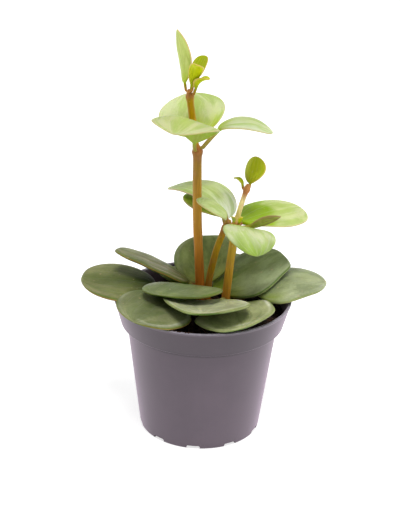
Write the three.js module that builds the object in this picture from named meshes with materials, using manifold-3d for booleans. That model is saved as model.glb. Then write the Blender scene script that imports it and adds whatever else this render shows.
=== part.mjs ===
// A potted peperomia at real size, in millimetres, +Z up.
// The origin is the centre of the pot's underside, where it stands. The plant's front faces -Y, and +X is its
// right.
// Three upright stems grow out of the soil of a small plastic nursery pot. Thick round leaves spread in a low
// rosette from the feet of the stems, and paler young leaves stand in whorls at the stem nodes above.

import * as THREE from "three";
import { mergeVertices } from "three/addons/utils/BufferGeometryUtils.js";
import Module from "manifold-3d";

const wasm = await Module();
wasm.setup();

// ---- Driving dimensions -------------------------------------------------------------------------

const GAP = 0.3; // clearance between pieces that touch
const LEAF_SEAT = 0.5; // clearance between a leaf's foot and its stem

const POT = {
  height: 67.4,
  footRadius: 29.5, // outside, at the ground
  neckRadius: 36.2, // outside, just under the rim band
  bandRadius: 39.2, // outside, at the rim band's lower edge
  lipRadius: 42.5, // outside, at the top
  bandHeight: 13.1,
  wall: 1.2,
  lip: 1.3, // width of the flat top edge
  floor: 3.0,
  footRound: 0.9,
  sides: 48,
};
const DRAIN = {
  count: 10,
  firstAngle: -95, // the channel nearest the front, in degrees from +X
  width: 6.4,
  height: 1.7,
  innerRadius: 20.5,
  holeRadius: 2.6,
  holeRingRadius: 24.5,
};
const SOIL = {
  level: 60.2,
  mound: 1.6, // how much higher the soil stands at the middle
  lump: 0.55, // height of its lumps
  sides: 48,
  rings: [3, 8, 13, 18, 23, 28, 32.5],
};

// Each stem is a line of [x, y, z, radius] stations, from its foot in the soil to its tip.
const STEM_FOOT_Z = 36;
const STEMS = {
  tall: [
    [-1.0, 6.0, STEM_FOOT_Z, 2.0],
    [-1.3, 6.0, 58, 2.15],
    [-1.5, 6.0, 69, 2.2],
    [-2.5, 6.0, 86, 2.15],
    [-3.6, 6.0, 104, 2.15],
    [-4.2, 6.0, 125, 2.1],
    [-4.4, 6.0, 135, 2.2],
    [-4.5, 6.0, 137.5, 2.5], // lower node
    [-4.9, 6.0, 139.2, 1.8],
    [-6.7, 6.0, 150, 1.7],
    [-8.2, 6.0, 160.5, 1.65],
    [-8.6, 6.0, 163.5, 1.8], // upper node
    [-8.8, 6.0, 165, 1.1],
    [-8.9, 6.0, 166.4, 0.6],
  ],
  middle: [
    [2.6, 8.0, STEM_FOOT_Z, 1.6],
    [2.4, 8.0, 58, 1.7],
    [2.4, 8.0, 67, 1.7],
    [3.1, 8.0, 74, 1.65],
    [4.4, 8.0, 81, 1.65],
    [6.2, 8.0, 89, 1.6],
    [8.6, 8.0, 96, 1.6],
    [10.1, 8.0, 99.5, 1.95], // node
    [11.2, 8.0, 101.8, 1.4],
    [11.8, 8.0, 103.4, 0.7],
  ],
  right: [
    [10.3, 0.0, STEM_FOOT_Z, 1.9],
    [10.7, 0.0, 57, 2.0],
    [11.0, 0.0, 66, 2.0],
    [12.1, 0.0, 80, 1.95],
    [13.3, 0.0, 93, 1.85],
    [14.0, 0.0, 101.5, 1.85],
    [14.4, 0.0, 104, 2.1], // node
    [15.0, 0.0, 107, 1.45],
    [16.6, 0.0, 114, 1.2],
    [18.2, 0.0, 119.6, 1.2],
    [18.9, 0.0, 121.8, 1.5], // node of the twig
    [19.3, 0.0, 123.2, 1.1],
    [19.6, 0.0, 124.4, 0.6],
  ],
};

// One entry per leaf. Angles are in degrees.
//   z        height of the leaf's base on its stem
//   heading  direction it grows in, seen from above: 0 is +X and 90 is the back
//   rise     slope above level: at the stalk's foot, at the blade's foot and at the tip
//   stalk, length, width   length of the stalk, and the size of the blade
//   roll     turn of the blade about its midrib; a positive one lifts its left margin, seen from the stem
//   twist, sweep   further turn and change of heading from the blade's foot to its tip
//   cup      how far the margins stand above the midrib
//   curl     how far the left margin bends up and the right one down, near their edges
//   bend     below 1 the blade's slope changes mostly near its foot
//   ends     how bluntly the blade's foot and tip are rounded; smaller is blunter
//   left, right   the same for each side of the midrib, where they differ
//   leftCut, rightCut   an almost straight stretch of that side: how far from the midrib its line stands at
//            the blade's foot and at its tip, as shares of half the width
//   lean     share by which the left side is wider, and the right one narrower, than half the width
//   coarse   a small leaf with fewer faces
const LOW = { color: 0x64804d, thickness: 2.6, stalkRadius: 1.2 };
const YOUNG = { color: 0xb4cc8a, thickness: 1.4, stalkRadius: 0.95 };
const SMALL = { color: 0xa3b84c, thickness: 1.0, stalkRadius: 0.65, coarse: true };
const LEAVES = {
  // The low rosette of old leaves.
  low_left: {
    ...LOW, stem: "tall", z: 64.5, heading: 178, rise: [10, 12, -3],
    stalk: 19, length: 36.5, width: 40.5, roll: -2, cup: -0.8, curl: 0.3, bend: 0.75, left: [0.45, 0.65],
    right: [0.55, 0.4], lean: 0.02,
  },
  low_front_left: {
    ...LOW, stem: "tall", z: 65, heading: 237, rise: [24, 7, -4],
    stalk: 17.5, length: 33, width: 39.5, roll: -7, cup: -1.2, curl: 0.4, bend: 0.8, left: [0.8, 0.7],
    right: [0.4, 0.55], leftCut: [1.2, 0.8], lean: -0.06,
  },
  low_back_left: {
    ...LOW, stem: "tall", z: 69.5, heading: 169, rise: [18, 29, 12],
    stalk: 3, length: 39, width: 22.5, roll: 9, cup: 0.1, curl: 0.7, bend: 0.7, left: [0.45, 0.65],
    right: [0.8, 0.45], lean: -0.2,
  },
  low_back: {
    ...LOW, stem: "tall", z: 66, heading: 86, rise: [41, 37, 20],
    stalk: 2.5, length: 31, width: 31.5, roll: -5, cup: 1.9, curl: -1.3, bend: 1.4, left: [0.55, 0.5],
    right: [0.65, 0.45], lean: -0.06,
  },
  low_back_right: {
    ...LOW, stem: "middle", z: 65, heading: 25, rise: [4, 25, 17],
    stalk: 2, length: 38.5, width: 41, roll: 6, cup: 0.9, curl: -1, bend: 1.55, left: [0.45, 0.5],
    right: [0.6, 0.45], rightCut: [1.6, 0.6], lean: -0.26,
  },
  low_right: {
    ...LOW, stem: "right", z: 63.8, heading: 15, rise: [14, 29, -20],
    stalk: 12.5, length: 37.5, width: 35.5, roll: 3, cup: -2.3, curl: -0.4, bend: 0.85,
    left: [0.7, 0.45], right: [0.4, 0.7], rightCut: [1.5, 0.6], lean: -0.02,
  },
  low_front_upper: {
    ...LOW, stem: "tall", z: 68.5, heading: 242, rise: [10, 37, -2],
    stalk: 1, length: 35.5, width: 39, roll: 7, cup: -0.4, bend: 0.9, left: [0.8, 0.5],
    right: [0.65, 0.4], leftCut: [1.9, 2.1], rightCut: [1.3, 0.9], lean: 0.18,
  },
  low_front_middle: {
    ...LOW, stem: "right", z: 66.5, heading: 258, rise: [29, 14, 15],
    stalk: 10, length: 34, width: 42, roll: 8, cup: 2.4, curl: -1, bend: 0.5, left: [0.7, 0.45],
    right: [0.8, 0.55], rightCut: [2.2, 0.4], lean: -0.16,
  },
  low_front_right: {
    ...LOW, stem: "right", z: 64, heading: 279, rise: [9, 20, -2],
    stalk: 9.5, length: 31, width: 40.5, roll: 12, cup: 0.2, curl: -0.8, bend: 0.85, left: [0.4, 0.65],
    right: [0.4, 0.45], leftCut: [0.9, 1], lean: 0.08,
  },
  low_rear_right: {
    ...LOW, thickness: 2.2, stem: "middle", z: 63, heading: 68, rise: [6, 10, 16],
    stalk: 11.5, length: 27, width: 27, ends: [0.5, 0.6],
  },
  low_rear_left: {
    ...LOW, thickness: 2.2, stem: "tall", z: 63.5, heading: 112, rise: [26, 15, -20],
    stalk: 8, length: 23.5, width: 26, cup: 0.9, ends: [0.5, 0.6],
  },
  // Young leaves at the tall stem's lower node.
  tall_front: {
    ...YOUNG, stem: "tall", z: 139, heading: 255, rise: [66, 85, -25],
    stalk: 3.5, length: 42.5, width: 31, roll: -13, sweep: 1, twist: 13, cup: -2.8, curl: 0.7,
    bend: 0.75, left: [0.75, 0.55], right: [0.8, 0.75], lean: 0.04,
  },
  tall_back: {
    ...YOUNG, stem: "tall", z: 139.5, heading: 98, rise: [64, 30, 34],
    stalk: 4.5, length: 27.5, width: 31.5, roll: -13, twist: 3, cup: 3, left: [0.55, 0.7],
    right: [0.55, 0.6],
  },
  tall_right: {
    ...YOUNG, stem: "tall", z: 139.5, heading: -13, rise: [54, 48, -43],
    stalk: 11.5, length: 27.5, width: 18.5, roll: 14, sweep: 4, twist: -17, cup: -1.9, curl: -0.2,
    bend: 0.95, left: [0.4, 0.8], right: [0.8, 0.5], lean: 0.16,
  },
  // The crown of the tall stem.
  top_left: {
    ...SMALL, color: 0xb6c97f, coarse: false, stem: "tall", z: 165.5, heading: 138, rise: [73, 80, 74],
    stalk: 3.5, length: 24, width: 13, roll: 66, twist: 10, cup: 1.9, bend: 1.05, left: [0.65, 0.8],
    right: [0.45, 0.8], lean: -0.04,
  },
  top_back: {
    ...SMALL, stem: "tall", z: 165.5, heading: 54, rise: [78, 64, 38],
    stalk: 5, length: 12.5, width: 8, cup: 0.6, left: [0.8, 0.5], right: [0.55, 0.5],
  },
  top_front: {
    ...SMALL, stem: "tall", z: 166, heading: 296, rise: [82, 75, 27],
    stalk: 2.5, length: 15, width: 6.5, roll: -5, sweep: -17, twist: -18, cup: 0.7, bend: 1.2,
    left: [0.6, 0.4], right: [0.8, 0.4], lean: 0.12,
  },
  top_right: {
    ...SMALL, stem: "tall", z: 164.5, heading: -38, rise: [65, 70, -1],
    stalk: 3.5, length: 9.5, width: 4, roll: 5, sweep: 5, cup: 1.6, left: [0.5, 0.45], right: [0.4, 0.6],
    lean: -0.08,
  },
  // The middle stem's crown.
  middle_arching: {
    ...YOUNG, stem: "middle", z: 103, heading: 125, rise: [66, 99, -29],
    stalk: 0.5, length: 44.5, width: 18.5, roll: -13, sweep: 23, twist: 12, bend: 0.4, left: [0.8, 0.65],
    right: [0.45, 0.8], lean: 0.04,
  },
  middle_under: {
    ...YOUNG, stem: "middle", z: 100.5, heading: 113, rise: [47, 60, -23],
    stalk: 3, length: 27.5, width: 24.5, roll: -4, sweep: 14, twist: 26, cup: -0.7, curl: -0.2,
    bend: 0.5, left: [0.8, 0.75], right: [0.45, 0.8], lean: 0.22,
  },
  middle_front: {
    ...YOUNG, stem: "middle", z: 103, heading: 231, rise: [84, 57, 9],
    stalk: 5.5, length: 23, width: 14, roll: -39, sweep: 12, twist: 13, cup: -1.2, curl: 0.6, bend: 0.5,
    left: [0.4, 0.45], right: [0.8, 0.45], lean: 0.2,
  },
  // The right stem's crown.
  right_back: {
    ...YOUNG, stem: "right", z: 104, heading: 40, rise: [33, 10, -13],
    stalk: 0.5, length: 39, width: 30.5, roll: 4, sweep: 3, twist: 4, cup: -2.3, curl: -0.1,
    ends: [0.6, 0.45], lean: 0.06,
  },
  right_edge: {
    ...YOUNG, color: 0x7d783c, stem: "right", z: 103, heading: 340, rise: [8, 25, 27],
    stalk: 5, length: 16, width: 5, roll: -66, cup: 0.7, left: [0.45, 0.8], right: [0.8, 0.75],
  },
  right_drooping: {
    ...YOUNG, stem: "right", z: 102.5, heading: 291, rise: [49, 27, -59],
    stalk: 3.5, length: 24, width: 26, roll: -16, curl: 0.9, left: [0.55, 0.55], right: [0.7, 0.65],
  },
  bud_left: {
    ...SMALL, color: 0x6f9a78, stem: "right", z: 105.5, heading: 243, rise: [85, 86, 38],
    stalk: 1, length: 3.5, width: 2.5, cup: 0.3, ends: [0.6, 0.6],
  },
  bud_right: {
    ...SMALL, stem: "right", z: 105.5, heading: -69, rise: [62, 66, 40],
    stalk: 1, length: 4.5, width: 2.5, cup: 0.3, ends: [0.6, 0.6],
  },
  // The tip of the right stem's twig.
  twig_round: {
    ...SMALL, stem: "right", z: 122, heading: 63, rise: [81, 65, 64],
    stalk: 1.5, length: 13, width: 11.5, roll: -12, cup: -1.7, left: [0.65, 0.55], right: [0.75, 0.55],
  },
  twig_curled: {
    ...SMALL, stem: "right", z: 121.5, heading: 134, rise: [92, 69, -32],
    stalk: 1.5, length: 6.5, width: 3, roll: 5, cup: 0.3, left: [0.75, 0.4], right: [0.5, 0.4],
  },
};

// ---- Closed bodies ------------------------------------------------------------------------------

// A closed body from rings of points, each ring as long as the next, with a point at either end.
function skin(first, rings, last) {
  const n = rings[0].length;
  const points = [first, ...rings.flat(), last];
  const end = points.length - 1;
  const at = (i, k) => 1 + i * n + (k % n);
  const index = [];
  for (let k = 0; k < n; k++) {
    index.push(0, at(0, k + 1), at(0, k));
    for (let i = 0; i + 1 < rings.length; i++) {
      index.push(at(i, k), at(i, k + 1), at(i + 1, k + 1));
      index.push(at(i, k), at(i + 1, k + 1), at(i + 1, k));
    }
    index.push(end, at(rings.length - 1, k), at(rings.length - 1, k + 1));
  }
  return new THREE.BufferGeometry().setFromPoints(points).setIndex(index);
}

function toSolid(geometry) {
  const bare = geometry.clone();
  bare.deleteAttribute("normal");
  bare.deleteAttribute("uv");
  const merged = mergeVertices(bare, 1e-3);
  return new wasm.Manifold(
    new wasm.Mesh({
      numProp: 3,
      vertProperties: new Float32Array(merged.attributes.position.array),
      triVerts: new Uint32Array(merged.index.array),
    }),
  );
}

function toGeometry(solid) {
  const mesh = solid.getMesh();
  return new THREE.BufferGeometry()
    .setAttribute("position", new THREE.BufferAttribute(mesh.vertProperties, 3))
    .setIndex(new THREE.BufferAttribute(mesh.triVerts, 1));
}

// A body turned about +Z from a profile of [radius, z] points that runs counter-clockwise.
function latheGeometry(profile, sides) {
  const points = profile.map(([r, z]) => new THREE.Vector2(r, z));
  return new THREE.LatheGeometry(points, sides).rotateX(Math.PI / 2);
}

// ---- Pot ----------------------------------------------------------------------------------------

// Outside radius of the pot's wall below the rim band.
const wallRadius = (z) =>
  THREE.MathUtils.mapLinear(z, 0, POT.height - POT.bandHeight, POT.footRadius, POT.neckRadius);

function potGeometry() {
  const { height, wall, lip, floor, footRound } = POT;
  const step = height - POT.bandHeight; // underside of the rim band
  const inside = (r) => r - wall;
  const profile = [
    [0, 0],
    [POT.footRadius - footRound, 0],
    [POT.footRadius - 0.25, 0.3],
    [wallRadius(footRound), footRound],
    [POT.neckRadius, step],
    [POT.bandRadius - 0.9, step + 0.2],
    [POT.bandRadius, step + 1.5],
    [POT.lipRadius - 0.5, height - 1.2],
    [POT.lipRadius, height - 0.8],
    [POT.lipRadius - 0.1, height],
    [POT.lipRadius - lip, height],
    [POT.lipRadius - lip - 0.3, height - 0.6],
    [inside(POT.bandRadius), step + 2.1],
    [inside(POT.neckRadius), step + 0.6],
    [inside(wallRadius(floor)), floor + 0.8],
    [inside(wallRadius(floor)) - 0.8, floor],
    [0, floor],
  ];
  let pot = toSolid(latheGeometry(profile, POT.sides));
  for (let i = 0; i < DRAIN.count; i++) {
    const turn = THREE.MathUtils.degToRad(DRAIN.firstAngle + (360 * i) / DRAIN.count);
    const reach = POT.footRadius + 3;
    const channel = new THREE.BoxGeometry(reach - DRAIN.innerRadius, DRAIN.width, 2 * DRAIN.height)
      .translate((reach + DRAIN.innerRadius) / 2, 0, 0)
      .rotateZ(turn);
    const hole = new THREE.CylinderGeometry(DRAIN.holeRadius, DRAIN.holeRadius, 3 * floor, 12)
      .rotateX(Math.PI / 2)
      .translate(DRAIN.holeRingRadius, 0, 0)
      .rotateZ(turn);
    pot = pot.subtract(toSolid(channel)).subtract(toSolid(hole));
  }
  return toGeometry(pot);
}

// ---- Soil ---------------------------------------------------------------------------------------

// Height of the soil's lumpy surface at a point.
function soilHeight(x, y) {
  const fromMiddle = Math.hypot(x, y) / POT.neckRadius;
  const lumps =
    Math.sin(0.55 * x + 1.3) * Math.cos(0.47 * y - 0.4) +
    0.6 * Math.sin(0.9 * x - 0.8 * y + 2.1) * Math.cos(1.1 * y + 0.5 * x);
  return SOIL.level + SOIL.mound * (1 - fromMiddle ** 2) + SOIL.lump * lumps;
}

function soilGeometry() {
  const step = POT.height - POT.bandHeight;
  const inside = (z) => wallRadius(z) - POT.wall - GAP;
  const bandInside = POT.bandRadius - POT.wall - GAP;
  const lipInside = POT.lipRadius - POT.wall;
  const rim = THREE.MathUtils.mapLinear(SOIL.level, step + 1.5, POT.height, bandInside, lipInside);
  const bottom = POT.floor + GAP;
  const profile = [
    [0, bottom],
    [inside(bottom) - 1.2, bottom],
    [inside(bottom) - 0.2, bottom + 1.1],
    [inside(step) - 0.2, step + 1.0],
    [bandInside - 0.3, step + 2.9],
    [rim - 0.6, SOIL.level - 0.4],
    ...SOIL.rings.map((r) => [r, SOIL.level + 5]).reverse(),
    [0, SOIL.level + 5],
  ];
  const geometry = latheGeometry(profile, SOIL.sides);
  const position = geometry.attributes.position;
  for (let i = 0; i < position.count; i++) {
    if (position.getZ(i) < SOIL.level + 4) continue;
    position.setZ(i, soilHeight(position.getX(i), position.getY(i)));
  }
  let soil = toSolid(geometry);
  for (const [[x, y, z, radius], ...rest] of Object.values(STEMS)) {
    soil = soil.subtract(toSolid(stemGeometry([[x, y, z - GAP, radius], ...rest], GAP + 0.05)));
  }
  return toGeometry(soil);
}

// ---- Stems --------------------------------------------------------------------------------------

const STEM_SIDES = 10;

// A round stem through its stations, thicker all over by an allowance.
function stemGeometry(stations, allowance = 0) {
  const path = stations.map(([x, y, z]) => new THREE.Vector3(x, y, z));
  const rings = path.map((point, i) => {
    const before = path[Math.max(0, i - 1)];
    const after = path[Math.min(path.length - 1, i + 1)];
    const along = after.clone().sub(before).normalize();
    const across = new THREE.Vector3(1, 0, 0).addScaledVector(along, -along.x).normalize();
    const other = along.clone().cross(across);
    const radius = stations[i][3] + allowance;
    return Array.from({ length: STEM_SIDES }, (_, k) => {
      const turn = (2 * Math.PI * k) / STEM_SIDES;
      return point
        .clone()
        .addScaledVector(across, radius * Math.cos(turn))
        .addScaledVector(other, radius * Math.sin(turn));
    });
  });
  const down = new THREE.Vector3(0, 0, -allowance);
  const up = new THREE.Vector3(0, 0, 0.5 + allowance);
  return skin(path[0].clone().add(down), rings, path[path.length - 1].clone().add(up));
}

// The stem's axis point and radius at a height.
function stemAt(stations, z) {
  const i = Math.max(1, stations.findIndex((s) => s[2] >= z));
  const [a, b] = [stations[i - 1], stations[i]];
  const t = (z - a[2]) / (b[2] - a[2]);
  const [x, y, , radius] = a.map((v, k) => THREE.MathUtils.lerp(v, b[k], t));
  return { point: new THREE.Vector3(x, y, z), radius };
}

// ---- Leaves -------------------------------------------------------------------------------------

const MIDRIB_STEPS = 120;
const SETTLE = 0.15; // share of the blade over which the round stalk flattens into it
const TIP_THINNING = 0.2; // how much thinner a blade is at its tip than at its foot
const CORNER = 8; // how sharply a blade's round outline turns into its straight stretch
const EDGE_FULLNESS = 0.7; // below 1 a blade's edges are fuller than an ellipse's

// Half-width of one side of a blade as a share of its widest, from its foot (0) to its tip (1).
function outline(u, [foot, tip]) {
  const widest = foot / (foot + tip);
  return (u ** foot * (1 - u) ** tip) / (widest ** foot * (1 - widest) ** tip);
}

// The smaller of a side's half-width and its straight stretch's, with a rounded corner between them.
function straightened(share, u, [atFoot, atTip]) {
  const line = THREE.MathUtils.lerp(atFoot, atTip, u);
  return (share ** -CORNER + line ** -CORNER) ** (-1 / CORNER);
}

function leafGeometry(leaf) {
  const { heading, rise, stalk, length, width, thickness, stalkRadius } = leaf;
  const { roll = 0, twist = 0, sweep = 0, cup = 0, curl = 0, bend = 1, lean = 0, coarse = false } = leaf;
  const { left = leaf.ends, right = leaf.ends, leftCut, rightCut } = leaf;
  const [sides, stalkSteps, bladeSteps] = coarse ? [8, 2, 7] : [12, 3, 10];
  const rad = THREE.MathUtils.degToRad;
  const { lerp } = THREE.MathUtils;
  const total = stalk + length;
  // How far along the blade a place on the midrib lies: 0 at the blade's foot and 1 at its tip.
  const along = (s) => THREE.MathUtils.clamp((s - stalk) / length, 0, 1);
  const slope = (s) => {
    if (s < stalk) return rad(lerp(rise[0], rise[1], s / stalk));
    return rad(lerp(rise[1], rise[2], along(s) ** bend));
  };
  const compass = (s) => rad(heading + sweep * along(s));
  const direction = (s) =>
    new THREE.Vector3(
      Math.cos(slope(s)) * Math.cos(compass(s)),
      Math.cos(slope(s)) * Math.sin(compass(s)),
      Math.sin(slope(s)),
    );

  // The midrib starts beside the stem and is walked in small steps.
  const { point: start, radius } = stemAt(STEMS[leaf.stem], leaf.z);
  const clear = radius + LEAF_SEAT + stalkRadius * Math.abs(Math.sin(rad(rise[0])));
  start.x += clear * Math.cos(rad(heading));
  start.y += clear * Math.sin(rad(heading));
  const midrib = [start];
  const walk = total / MIDRIB_STEPS;
  for (let i = 0; i < MIDRIB_STEPS; i++) {
    midrib.push(midrib[i].clone().addScaledVector(direction((i + 0.5) * walk), walk));
  }
  const midribAt = (s) => {
    const i = Math.min(MIDRIB_STEPS - 1, Math.floor(s / walk));
    return midrib[i].clone().lerp(midrib[i + 1], s / walk - i);
  };

  // The sections lie closer together towards the blade's foot and tip.
  const stops = [];
  for (let i = 0; i < stalkSteps; i++) stops.push((stalk * i) / stalkSteps);
  for (let i = 0; i < bladeSteps; i++) {
    const share = (1 - Math.cos((Math.PI * i) / bladeSteps)) / 2;
    stops.push(stalk + length * share);
  }
  const rings = stops.map((s) => {
    const u = along(s);
    const forward = direction(s);
    const level = new THREE.Vector3(-Math.sin(compass(s)), Math.cos(compass(s)), 0);
    const turned = roll * THREE.MathUtils.smoothstep(s, 0, stalk) + twist * u;
    const side = level.applyAxisAngle(forward, rad(turned));
    const up = forward.clone().cross(side);
    const reach = (ends, share, cut) => {
      const round = share * outline(u, ends);
      const blade = cut ? straightened(round, u, cut) : round;
      return Math.hypot(stalkRadius * (1 - u) ** 2, (width / 2) * blade);
    };
    const leftReach = reach(left, 1 + lean, leftCut);
    const rightReach = reach(right, 1 - lean, rightCut);
    const settled = Math.min(1, u / SETTLE);
    const halfThickness = lerp(stalkRadius, (thickness / 2) * (1 - TIP_THINNING * u), settled);
    return Array.from({ length: sides }, (_, k) => {
      const around = (2 * Math.PI * k) / sides;
      const cosine = Math.cos(around);
      const sine = Math.sin(around);
      const x = (cosine > 0 ? leftReach : rightReach) * cosine;
      const out = x / (width / 2);
      const face = halfThickness * Math.sign(sine) * Math.abs(sine) ** EDGE_FULLNESS;
      return midribAt(s).addScaledVector(side, x).addScaledVector(up, face + cup * out ** 2 + curl * out ** 3);
    });
  });
  return skin(start.clone(), rings, midribAt(total));
}

// ---- Assembly -----------------------------------------------------------------------------------

const plant = new THREE.Group();
function add(name, geometry, color, roughness) {
  const material = new THREE.MeshStandardMaterial({ color, roughness, metalness: 0 });
  const mesh = new THREE.Mesh(geometry, material);
  mesh.name = name;
  plant.add(mesh);
}

add("pot", potGeometry(), 0x6b636b, 0.55);
add("soil", soilGeometry(), 0x1d1714, 0.95);
for (const [name, stations] of Object.entries(STEMS)) {
  add(`stem_${name}`, stemGeometry(stations), 0x96622b, 0.5);
}
for (const [name, leaf] of Object.entries(LEAVES)) {
  add(`leaf_${name}`, leafGeometry(leaf), leaf.color, 0.42);
}

export default plant;
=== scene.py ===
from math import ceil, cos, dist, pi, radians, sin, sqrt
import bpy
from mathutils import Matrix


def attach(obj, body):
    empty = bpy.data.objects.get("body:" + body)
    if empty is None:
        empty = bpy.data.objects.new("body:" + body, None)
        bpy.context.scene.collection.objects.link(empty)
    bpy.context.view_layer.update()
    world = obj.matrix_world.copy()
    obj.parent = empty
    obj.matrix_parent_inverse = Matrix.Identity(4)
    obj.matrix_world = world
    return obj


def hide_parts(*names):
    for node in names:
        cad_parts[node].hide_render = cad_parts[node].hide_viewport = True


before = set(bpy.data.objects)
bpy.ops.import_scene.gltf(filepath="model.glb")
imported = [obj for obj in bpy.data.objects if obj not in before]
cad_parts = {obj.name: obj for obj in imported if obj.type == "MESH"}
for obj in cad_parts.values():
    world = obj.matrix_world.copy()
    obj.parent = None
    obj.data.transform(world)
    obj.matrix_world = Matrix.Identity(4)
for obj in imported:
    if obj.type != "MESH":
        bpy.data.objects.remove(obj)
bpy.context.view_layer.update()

# A potted peperomia: a thin plastic nursery pot of peat, three fleshy stems and thick round leaves.
# Lengths in the tables are in millimetres, as in the part's source, and every mesh is made in metres.

from types import SimpleNamespace

import bmesh
import bpy
import numpy as np
from mathutils import Matrix, Vector

MM = 0.001

# ---- Sizes, as the solids have them ----

POT = SimpleNamespace(
    height=67.4, foot=29.5, neck=36.2, band=39.2, lip=42.5, band_height=13.1, wall=1.2, lip_width=1.3,
    floor=3)
# The drain channels under the foot: compass angle of the first, sizes, radius where they start, radius of the
# hole in each and of the ring of holes, and rounding of a channel's edges.
DRAIN = SimpleNamespace(
    count=10, first=-95, width=6.4, height=1.7, inner=20.5, hole=2.6, ring=24.5, rounding=0.7)
SOIL_LEVEL, SOIL_MOUND, SOIL_LUMP = 60.2, 1.6, 0.55
LEAF_SEAT = 0.5  # how far off the stem's side a stalk starts

# Stations of each stem: x, y, z, radius.
STEMS = {
    "tall": [(-1.0, 6, 36, 2.0), (-1.3, 6, 58, 2.15), (-1.5, 6, 69, 2.2), (-2.5, 6, 86, 2.15),
        (-3.6, 6, 104, 2.15), (-4.2, 6, 125, 2.1), (-4.4, 6, 135, 2.2), (-4.5, 6, 137.5, 2.5),
        (-4.9, 6, 139.2, 1.8), (-6.7, 6, 150, 1.7), (-8.2, 6, 160.5, 1.65), (-8.6, 6, 163.5, 1.8),
        (-8.8, 6, 165, 1.1), (-8.9, 6, 166.4, 0.6)],
    "middle": [(2.6, 8, 36, 1.6), (2.4, 8, 58, 1.7), (2.4, 8, 67, 1.7), (3.1, 8, 74, 1.65),
        (4.4, 8, 81, 1.65), (6.2, 8, 89, 1.6), (8.6, 8, 96, 1.6), (10.1, 8, 99.5, 1.95),
        (11.2, 8, 101.8, 1.4), (11.8, 8, 103.4, 0.7)],
    "right": [(10.3, 0, 36, 1.9), (10.7, 0, 57, 2.0), (11.0, 0, 66, 2.0), (12.1, 0, 80, 1.95),
        (13.3, 0, 93, 1.85), (14.0, 0, 101.5, 1.85), (14.4, 0, 104, 2.1), (15.0, 0, 107, 1.45),
        (16.6, 0, 114, 1.2), (18.2, 0, 119.6, 1.2), (18.9, 0, 121.8, 1.5), (19.3, 0, 123.2, 1.1),
        (19.6, 0, 124.4, 0.6)],
}
# Heights of each stem's nodes.
NODES = {"tall": (69, 137.6, 163.4), "middle": (67, 99.6), "right": (66, 104, 121.8)}

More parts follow.
